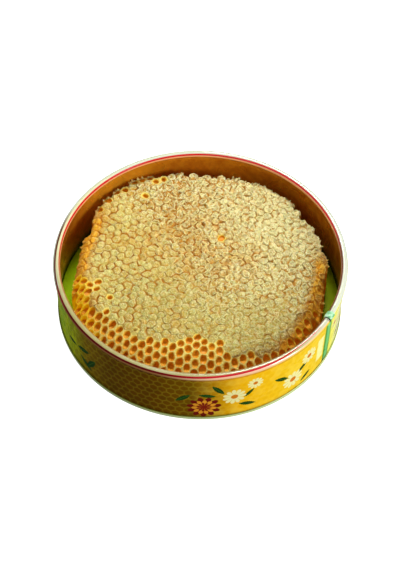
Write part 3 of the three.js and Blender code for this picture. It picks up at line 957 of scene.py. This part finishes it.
def hexagon_group():
    """Regular six-sided cells: the nearer of two staggered rectangular grids of middles. Edge is
    0 at a cell's middle and 1 at its border; Name is a scattered value for each cell."""
    group = Group("six_sided_cells", "Along Up Pitch", "Edge Name")
    along, up, pitch = group.given
    period = (1.0, math.sqrt(3), 1.0)
    half = (0.5, math.sqrt(3) / 2, 0.5)

    def vector(operation, a, b=(0.0, 0.0, 0.0), output=0):
        return group.add("VectorMath", {0: a, 1: b}, output, operation=operation)

    def nearer_of(first, second):
        return group.add("Mix", {0: nearer, 4: first, 5: second}, 1, data_type="VECTOR")

    point = group.add("CombineXYZ", {"X": along / pitch, "Y": up / pitch})
    offsets, names, lengths = [], [], []
    for shift in ((0.0, 0.0, 0.0), half):
        moved = vector("ADD", point, shift)
        cell = vector("FLOOR", vector("DIVIDE", moved, period))
        inside = vector("SUBTRACT", moved, vector("MULTIPLY", cell, period))
        offsets.append(vector("SUBTRACT", inside, half))
        names.append(cell)
        lengths.append(vector("LENGTH", offsets[-1], output="Value"))
    nearer = lengths[1].math("LESS_THAN", lengths[0])
    size = vector("ABSOLUTE", nearer_of(*offsets))
    slanted = vector("DOT_PRODUCT", size, (0.5, math.sqrt(3) / 2, 0.0), "Value")
    edge = slanted.math("MAXIMUM", group.add("SeparateXYZ", {0: size}, "X")) * 2.0
    name = nearer_of(names[0], vector("ADD", names[1], (37.0, 11.0, 0.0)))
    return group.done(Edge=edge, Name=group.add("TexWhiteNoise", {"Vector": name}, "Value",
                                                noise_dimensions="3D"))


PRINT_PERIOD = math.pi * WALL_OUTSIDE
# The print's ground: millimetres along from the seam, and colour. The near-white from 268 to 296 mm, just
# beside the seam, is painted light.
GROUND_COLOURS = (
    (0, (255, 236, 84)), (6, (252, 212, 42)), (40, (250, 204, 30)), (54, (254, 200, 18)),
    (66, (255, 196, 10)), (78, (252, 186, 0)), (94, (186, 132, 2)), (108, (124, 90, 0)),
    (132, (112, 74, 0)), (168, (114, 80, 0)), (188, (142, 116, 0)), (206, (150, 168, 2)),
    (224, (150, 206, 6)), (250, (170, 210, 16)), (268, (240, 232, 180)), (280, (255, 255, 226)),
    (289, (254, 255, 214)), (296, (252, 255, 172)), (303, (255, 253, 118)),
    (PRINT_PERIOD, (255, 250, 104)))


def ground_group():
    """The print's ground: colours that flow into each other along the wall, and six-sided cells
    that are faint on the yellow and dark in the middle on the brown."""
    group = Group("print_ground", "Along Up", "Ground Brown")
    along = group.given[0].math("FLOORED_MODULO", PRINT_PERIOD)
    flow = (along / PRINT_PERIOD).ramp([(at / PRINT_PERIOD, shade) for at, shade in GROUND_COLOURS])
    brown = along.spread(92.0, 112.0) * along.spread(214.0, 190.0)
    cells = group.use(hexagon_group(), Along=along, Up=group.given[1], Pitch=5.8)
    edge = cells["Edge"]
    shown = blend(edge.spread(1.1, 0.2) * (brown * 0.09 + 0.07), flow, (96, 44, 2))
    shown = blend(edge.spread(0.72, 1.0) * (brown * 0.02 + 0.12), shown, (236, 220, 60))
    shown = blend(cells["Name"] * (brown * 0.12 + 0.05), shown, (120, 70, 4))
    return group.done(Ground=blend(along.spread(270.0, 290.0), shown, flow), Brown=brown)


GRAIN, CRUMPLE, WRAP, GROUND = grain_group(), crumple_group(), wrap_group(), ground_group()


def wax_material():
    """Beeswax: cream caps, crumpled where the comb is restless, amber in the grooves deepened as
    painted shade, honey showing through thin places, cream lips and brown depths in the open
    cells, orange on the side with pale ribs. Raised crests and the grain's peaks carry a painted
    highlight, and a faint painted glow lights the left edge."""
    look = Look("beeswax", Subsurface_Weight=0.18, Subsurface_Radius=(1.0, 0.75, 0.3),
                Subsurface_Scale=0.0011, Specular_IOR_Level=0.2,
                Specular_Tint=(1.0, 0.94, 0.72, 1.0), Emission_Strength=1.0)
    height, mottle = look.grain(0.0011)
    gap, hollow, opened, tone, amber, crest, side, wild, dull = (look.value(label) for label in (
        "gap", "hollow", "open", "tone", "amber", "crest", "side", "restless", "dull"))
    cap = blend(tone, (216, 212, 120), (210, 188, 88))
    # Painted shade: caps darker and duller khaki in soft patches along the front.
    cap = blend(dull * 0.75, cap, (168, 168, 86))
    cap = blend(mottle.spread(0.42, 0.80), cap, (208, 172, 74))
    # The fine grain is painted: darker in its hollows as painted shade, pale on its peaks as painted
    # highlight.
    cap = blend(height.spread(0.48, 0.34, 0.0, 0.75), cap, (194, 138, 42))
    cap = blend(height.spread(0.52, 0.66, 0.0, 0.8), cap, (248, 242, 164))
    # Crumpled wax between the creases is amber, darkened as painted shade in the hollows, and its creases
    # carry a painted highlight.
    crumple = look.use(CRUMPLE, Place=look.place(), Size=0.0034)
    crumpled = (wild * 0.86 + 0.14) * (side.spread(0.5, 0.0) * opened.spread(0.5, 0.0))
    cap = blend(crumple["Height"].spread(0.34, 0.0, 0.0, 0.78) * crumpled, cap, (196, 126, 30))
    cap = blend(crumple["Line"] * crumpled, cap, (255, 250, 204))
    # Grooves: the amber of thin wax, deepened with depth as painted shade.
    deep = blend(mottle, (202, 136, 26), (176, 106, 12))
    deep = blend(wild * 0.5, deep, (222, 164, 66))
    uneven_gap = gap + height.spread(0.3, 0.7, -0.22, 0.22)
    shown = blend(uneven_gap.spread(0.05, 0.95), cap, deep)
    # Thin wax over honey, and wax soaked with it.
    thin = blend(uneven_gap.spread(0.0, 0.8), (206, 148, 44), (198, 110, 10))
    soaked = blend(uneven_gap.spread(0.0, 0.8), (238, 176, 42), (216, 136, 8))
    shown = blend(amber * 0.85, shown, blend(amber.spread(0.96, 1.08), thin, soaked))
    # Painted highlight on raised crests, bridges, threads and torn points.
    shown = blend(crest * 0.9, shown, blend(amber * 0.6, (252, 243, 178), (250, 214, 104)))
    shown = blend(side, shown, blend(crest.spread(0.35, 0.75), (255, 184, 16), (255, 226, 84)))
    inside = hollow.ramp(((0.0, (240, 224, 124)), (0.10, (236, 206, 92)), (0.26, (230, 178, 46)),
                          (0.45, (226, 156, 30)), (1.0, (210, 132, 20))))
    shown = blend(opened, shown, blend(amber * 0.8, inside, (255, 230, 122), "MULTIPLY"))
    # A faint painted glow (emission) on the side and open cells at the left edge, where the tin's wall
    # shades it, stands in for light coming through the honey.
    x, y, _ = look.xyz()
    lit = distance(x, y).spread(0.076, 0.084) * x.spread(-0.060, -0.074) * y.spread(0.034, 0.010)
    lit = lit * side.math("MAXIMUM", opened)
    relief = crumple["Height"] * crumpled * 0.55 + height
    return look.done(Base_Color=shown, Emission_Color=blend(lit, (0, 0, 0), (130, 110, 0)),
                     Roughness=mottle.spread(0.3, 0.7, 0.42, 0.6),
                     Normal=look.bump(relief, 0.9, 0.0014))


def honey_material():
    """Honey that stands in the open cells: deep orange, clearer in places, wet."""
    look = Look("honey", Specular_IOR_Level=0.25, Specular_Tint=(1.0, 0.75, 0.35, 1.0))
    _, mottle = look.grain(0.004)
    shown = blend(look.value("tone"), (236, 154, 22), (246, 178, 42))
    shown = blend(mottle, shown, (222, 138, 16))
    shown = blend(look.value("hollow").spread(0.95, 0.5), shown, (232, 164, 42))
    return look.done(Base_Color=shown, Roughness=mottle.spread(0.3, 0.7, 0.3, 0.42))


def floor_material():
    """A matt white floor that sends only part of its light back up at the tin."""
    look = Look("pale_floor", Specular_IOR_Level=0.1, Emission_Strength=0.85)
    mottle = look.noise(look.place(), 3.0)
    white = blend(mottle, (250, 250, 249), (254, 254, 254))
    seen = look.add("LightPath", output="Is Camera Ray")
    return look.done(Base_Color=blend(seen, (102, 102, 102), white),
                     Emission_Color=blend(seen, (0, 0, 0), white),
                     Roughness=mottle.spread(0.3, 0.7, 0.75, 0.85))


def lining_material():
    """The inside of the wall: clear gold lacquer over tinplate, uneven and a little smeared, with
    painted shade that makes it darker at the left and where it meets the base, and painted light
    that makes it brighter at the back left."""
    look = Look("gold_lining", Metallic=0.55, Coat_Weight=0.2)
    height, mottle = look.grain(0.006)
    x, y, z = look.xyz()
    shown = blend(height.spread(0.3, 0.7), (206, 118, 14), (232, 150, 30))
    # Painted shade at the left and painted light at the back left; below them painted shade where the wall
    # meets the base.
    shown = blend(x.spread(-0.07, -0.092) * y.spread(0.06, 0.03) * 0.4, shown, (140, 62, 12))
    shown = blend(x.spread(-0.02, -0.05) * y.spread(0.045, 0.065) * 0.7, shown, (246, 176, 40))
    shown = blend(z.spread(0.002, 0.012), (60, 36, 6), shown)
    return look.done(Base_Color=shown, Roughness=mottle.spread(0.3, 0.7, 0.22, 0.38),
                     Normal=look.bump(mottle, 0.15, 0.002))


def rim_material():
    """The rolled rim: cream enamel, darker and warmer at the front as painted shade, with a red line
    on its outer shoulder and another on its inner side, bare lacquer beyond them, and the print's
    upper edge below. The lines and their colours change a little on the way round, the colours
    partly as painted light and shade."""
    look = Look("rim_enamel", Coat_Roughness=0.13, Specular_IOR_Level=0.3)
    _, mottle = look.grain(0.003)
    x, y, _ = look.xyz()
    roll = look.value("roll") * 360.0
    # Degrees round from the front and the back towards the right, and from the left to the back.
    turn, from_back, from_left = degrees(x, y * -1.0), degrees(x, y), degrees(y, x * -1.0)
    front, shaded = turn.line(-6.0, 66.0), turn.line(-38.0, 34.0, 14.0)
    shady = from_back.line(120.0, 42.0, 10.0)
    # Enamel, its cream changed round the rim as painted light and shade: darker and warmer at the front,
    # paler and cooler at the back and sides.
    cream = blend(turn.spread(-120.0, -150.0), (214, 207, 162), (202, 206, 184))
    cream = blend(turn.spread(40.0, 60.0), cream, (198, 202, 180))
    cream = blend(turn.spread(64.0, 28.0) * turn.spread(-100.0, -60.0), cream, (168, 160, 102))
    cream = blend(mottle.spread(0.35, 0.7, 0.0, 0.25), cream, (206, 204, 176))
    shown = blend(roll.spread(74.0, 82.0), blend(front, (206, 212, 194), cream), cream)
    shown = blend(roll.line(92.0, 7.0, 5.0) * front.spread(1.0, 0.0, 0.0, 0.75), shown, (170, 178, 126))
    blush = blend(shaded, (246, 200, 160), (150, 100, 56))
    shown = blend(front * roll.spread(50.0, 44.0), shown, blush)
    # The outer red line climbs towards both sides of the front.
    red = blend(mottle, (186, 12, 34), (202, 26, 42))
    outer_red = blend(from_left.spread(-26.0, -14.0), blend(shaded, red, (92, 0, 4)), (98, 54, 38))
    middle = (turn.spread(-14.0, 24.0, 45.0, 60.0) + from_left.spread(-30.0, 10.0, 0.0, 31.0)
              + turn.spread(28.0, 44.0, 0.0, 26.0))
    off_line = (roll - middle) * turn.spread(26.0, 42.0, 1.0, 1.9)
    band = turn.spread(-118.0, -100.0) * turn.spread(56.0, 50.0)
    shown = blend(off_line.line(0.0, 16.0, 3.0) * band, shown, outer_red)
    # The inner one, faint at the left and brown in the shade at the right, and what is beyond.
    right = from_back.spread(8.0, 40.0) * from_back.spread(172.0, 140.0)
    off_inner = roll - (right * -11.0 + 146.0)
    inner_red = blend(from_left.line(-40.0, 40.0, 22.0) * 0.8, (202, 34, 34), (150, 110, 70))
    inner_red = blend(shady, inner_red, (104, 36, 18))
    shown = blend(off_inner.line(0.0, 17.0, 3.0), shown, inner_red)
    shown = blend(off_inner.spread(17.0, 22.0), shown, blend(shady, (236, 164, 104), (150, 76, 34)))
    shown = blend(roll.spread(190.0, 200.0), shown, (140, 80, 24))
    # The print; under the roll a painted shadow line, orange and browner in the shade; and the notch,
    # painted near black as shade.
    wrap = look.use(WRAP, Place=look.place())
    ground = look.use(GROUND, **wrap)["Ground"]
    print_edge = turn.spread(92.0, 100.0) * -34.0 + turn.spread(20.0, 56.0, 0.0, 34.0)
    shown = blend((roll - print_edge).spread(12.0, -12.0), shown, ground)
    shown = blend(roll.spread(-38.0, -50.0), shown, blend(shaded, (214, 124, 36), (84, 46, 18)))
    shown = blend(look.value("notch"), shown, (12, 10, 8))
    return look.done(Base_Color=shown, Coat_Weight=turn.spread(-10.0, 25.0, 0.05, 0.8),
                     Specular_IOR_Level=turn.spread(-10.0, 25.0, 0.06, 0.3),
                     Roughness=mottle.spread(0.3, 0.7, 0.18, 0.3))


def base_material():
    """Green lacquer on the base, glossy, a little uneven, darker towards the right as painted shade, with
    a pale line on its turned-up edge.
    """
    look = Look("green_lacquer", Metallic=0.1, Coat_Weight=0.03, Coat_Roughness=0.1,
                Specular_IOR_Level=0.08, Specular_Tint=(0.9, 1.0, 0.4, 1.0))
    height, mottle = look.grain(0.006)
    x, y, z = look.xyz()
    shown = blend(mottle, (130, 172, 0), (144, 186, 0))
    # Painted shade: darker green towards the right.
    shown = blend(x.spread(0.05, 0.085), shown, (126, 150, 0))
    edge = distance(x, y).spread(WALL_OUTSIDE * MM + 0.0001, WALL_OUTSIDE * MM + 0.0003)
    upper = blend(degrees(x, y * -1.0).spread(10.0, 50.0), (142, 148, 62), (224, 236, 170))
    pale = blend(z.spread(0.0022, 0.0028), (214, 232, 176), upper)
    return look.done(Base_Color=blend(edge, shown, pale), Roughness=height.spread(0.3, 0.7, 0.26, 0.38))


def seam_material():
    """The folded seam's edge colours: a dark line, mint green, a darker line, yellow-green."""
    look = Look("seam_enamel", Coat_Weight=0.4, Coat_Roughness=0.08)
    height, mottle = look.grain(0.002)
    stripes = look.value("across").ramp((
        (0.0, (160, 196, 40)), (0.08, (50, 140, 60)), (0.18, (90, 196, 100)), (0.30, (128, 230, 136)),
        (0.58, (124, 224, 124)), (0.68, (70, 164, 60)), (0.78, (210, 232, 70)), (1.0, (250, 246, 84))))
    mint = blend(height.spread(0.42, 0.62), (120, 190, 130), (200, 244, 206))
    return look.done(Base_Color=blend(look.value("roll"), stripes, mint),
                     Roughness=mottle.spread(0.3, 0.7, 0.25, 0.4))


def motif_group(name, outputs):
    """A motif's group, with the place relative to its middle and turned by its angle: two values
    in shares of its size."""
    group = Group(name, "Along Up Column Row Turn Size", outputs)
    along, up, column, row, turn, size = group.given
    right, rise = along - column, up - row
    cosine, sine = turn.math("COSINE"), turn.math("SINE")
    return group, (right * cosine + rise * sine) / size, (rise * cosine - right * sine) / size


def daisy_group():
    """A daisy: petals reach to size * (0.62 + 0.38 |cos 5.5 turn|^0.7), round an eye of 0.3 size."""
    group, first, second = motif_group("daisy", "Petals Eye Fold")
    far = distance(first, second)
    wave = abs((second.math("ARCTAN2", first) * 5.5).math("COSINE"))
    reach = wave.math("POWER", 0.7) * 0.38 + 0.62
    return group.done(Petals=(reach - far).spread(-0.03, 0.03), Eye=far.spread(0.33, 0.27),
                      Fold=wave.spread(0.45, 0.0) * far.spread(0.2, 0.6))


def leaf_group():
    """A leaf: half its width is 0.3 size * (1 - |along its vein|^2), with a toothed edge."""
    group, along, second = motif_group("leaf", "Leaf Vein")
    across = abs(second)
    half = (1.0 - along * along) * 0.30 + (along * 24.0).math("SINE") * 0.022
    ribs = abs(((along + across) * 11.0).math("SINE"))
    vein = across.spread(0.035, 0.01).math("MAXIMUM", ribs.spread(0.2, 0.0))
    return group.done(Leaf=(half - across).spread(-0.02, 0.02), Vein=vein)


# The print repeats after half the way round. Places are millimetres along from the seam, and up;
# then an angle and a size.
DAISIES = ((22, 30, 0.2, 7.0), (36, 16, 0.5, 8.4), (66, 33, 0.1, 5.6), (80, 23, 0.9, 8.0),
           (286, 20, 0.4, 7.0), (302, 31, 0.8, 5.2))
DAHLIAS = ((100, 14, 0.3, 11.5), (270, 14, 0.3, 9.0))
LEAVES = ((28, 23, -0.6, 6.0), (46, 24, 0.5, 6.4), (24, 9, 2.6, 5.4), (71, 12, 0.3, 6.4),
          (91, 33, 0.9, 6.6), (98, 27, 0.2, 6.0), (70, 24, 2.3, 5.0), (114, 24, -0.7, 6.6),
          (184, 17, -1.0, 8.0), (192, 25, -0.4, 7.4), (190, 12, 0.5, 7.0), (206, 20, -0.2, 6.0),
          (278, 29, 0.7, 5.2), (294, 12, -0.3, 5.0))
# A dahlia's wreaths of petals: share of its size, colour, and colour of the folds.
WREATHS = ((1.0, (112, 26, 14), (168, 62, 24)), (0.72, (232, 156, 40), (166, 72, 20)),
           (0.45, (130, 34, 16), (226, 140, 40)))


def print_material():
    """The printed wall: the ground, daisies, leaves and dahlias, under a glossy varnish."""
    look = Look("printed_varnish", Coat_Weight=0.02, Coat_Roughness=0.08, Specular_IOR_Level=0.03,
                Specular_Tint=(1.0, 0.8, 0.3, 1.0), Coat_Tint=(1.0, 0.9, 0.6, 1.0))
    height, mottle = look.grain(0.0016)
    wrap = look.use(WRAP, Place=look.place())
    along, up = wrap["Along"].math("FLOORED_MODULO", PRINT_PERIOD), wrap["Up"]
    ground = look.use(GROUND, Along=along, Up=up)
    # Painted shade: a soft orange band under the rim at the front right.
    shade_under_rim = along.line(58.0, 36.0, 16.0) * up.spread(42.0, 44.4, 0.0, 0.55)
    shown = blend(shade_under_rim, ground["Ground"], (214, 116, 28))
    worn = blend(ground["Brown"], (255, 236, 96), (66, 46, 2))
    shown = blend(mottle.spread(0.35, 0.75, 0.0, 0.25), shown, worn)
    streaks = look.noise(look.add("CombineXYZ", {"X": along * 0.32, "Y": up * 0.07}), 1.0)
    leafy = streaks.spread(0.45, 0.62, 0.0, 0.75) * along.line(222.0, 22.0, 8.0)
    shown = blend(leafy, shown, (206, 226, 10))
    panel = along.line(9.2, 3.6, 0.8) * up.line(24.5, 11.5, 1.0)
    shown = blend(panel, shown, (252, 252, 168))
    leaf, daisy = leaf_group(), daisy_group()

    def motif(group, column, row, turn, size):
        return look.use(group, Along=along, Up=up, Column=column, Row=row, Turn=turn, Size=size)

    for place in LEAVES:
        made = motif(leaf, *place)
        shown = blend(made["Leaf"], shown, blend(made["Vein"], (26, 66, 20), (70, 112, 34)))
    for column, row, turn, size in DAHLIAS:
        for share, petal, fold in WREATHS:
            made = motif(daisy, column, row, turn + share * 5, size * share)
            shown = blend(made["Petals"], shown, blend(made["Fold"], petal, fold))
    for place in DAISIES:
        made = motif(daisy, *place)
        shown = blend(made["Petals"], shown, blend(made["Fold"], (246, 240, 168), (218, 206, 104)))
        shown = blend(made["Eye"], shown, (214, 124, 26))
    return look.done(Base_Color=shown, Roughness=mottle.spread(0.3, 0.7, 0.2, 0.34),
                     Normal=look.bump(height, 0.04, 0.0003))


# ---- The scene ----

def make_camera():
    """A long lens looking down at the tin, tilted by a hair and rolled."""
    elevation, tilt, roll = math.radians(52.53), 0.01145, -0.02364
    camera = new_object("camera", bpy.data.cameras.new("camera"))
    camera.data.lens, camera.data.sensor_width = 80.45, 36.0
    right = Vector((1, 0, 0))
    up = Vector((0, math.sin(elevation), math.cos(elevation)))
    ahead = Vector((0, math.cos(elevation), -math.sin(elevation)))
    up, ahead = (math.cos(tilt) * up - math.sin(tilt) * ahead,
                 math.sin(tilt) * up + math.cos(tilt) * ahead)
    right, up = (math.cos(roll) * right - math.sin(roll) * up,
                 math.sin(roll) * right + math.cos(roll) * up)
    turn = Matrix((right, up, -ahead)).transposed().to_4x4()
    camera.matrix_world = Matrix.Translation((0, -0.5517, 0.7197)) @ turn
    camera.data.clip_start, camera.data.clip_end = 0.01, 100
    bpy.context.scene.camera = camera


def add_lamp(name, azimuth, elevation, distance, size, power, glossy, tint=(1, 1, 1)):
    """A square soft lamp that looks at the tin's middle."""
    lamp = new_object(name, bpy.data.lights.new(name, "AREA"))
    lamp.data.shape, lamp.data.size, lamp.data.energy = "SQUARE", size, power
    lamp.data.color = tint
    lamp.visible_glossy = glossy
    turn, rise = math.radians(azimuth), math.radians(elevation)
    away = Vector((math.cos(turn) * math.cos(rise), math.sin(turn) * math.cos(rise), math.sin(rise)))
    lamp.location = away * distance + Vector((0, 0, 0.03))
    lamp.rotation_mode = "QUATERNION"
    lamp.rotation_quaternion = away.to_track_quat("Z", "Y")


def make_studio():
    """Four lamps, an even pale surrounding light, and a wide floor."""
    add_lamp("key", -35, 20, 1.1, 0.35, 9.3, True, (1.0, 0.99, 0.95))
    add_lamp("back", 86, 58, 0.75, 0.2, 4.0, True)
    add_lamp("left", -174, 32, 1.2, 0.6, 2.3, False)
    add_lamp("front", -110, 52, 1.2, 0.4, 0.4, False)
    world = bpy.data.worlds.new("studio")
    world.use_nodes = True
    light = world.node_tree.nodes["Background"].inputs
    light[0].default_value, light[1].default_value = (1, 1, 1, 1), 0.37
    bpy.context.scene.world = world
    corners = np.array([[-1, -1, 0], [1, -1, 0], [1, 1, 0], [-1, 1, 0]]) * 3000.0
    floor = put("floor", corners, [np.array([[0, 1, 2, 3]])], [floor_material()], smooth=False)
    bpy.context.scene.view_settings.view_transform = "Standard"


make_camera()
make_studio()

wax, honey = wax_material(), honey_material()
honeycomb = Comb(Lattice())
caps = honeycomb.add_caps()
honeycomb.add_open_cells()
outline = honeycomb.add_side()
comb = honeycomb.finish(wax, honey)
threads = make_wax_threads(caps, wax)
torn = make_torn_edges(outline, wax)
wall = make_tin_wall(print_material(), rim_material(), lining_material())
seam = make_lock_seam(seam_material())
base = make_tin_base(base_material())

for piece, node, slot in (
        (comb, "honeycomb", "honeycomb"), (threads, "honeycomb", "honeycomb"),
        (torn, "honeycomb", "honeycomb"), (wall, "tin_wall", "printed_tin"),
        (seam, "tin_wall", "printed_tin"), (base, "tin_base", "lacquered_base")):
    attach(piece, "root")
    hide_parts(node)
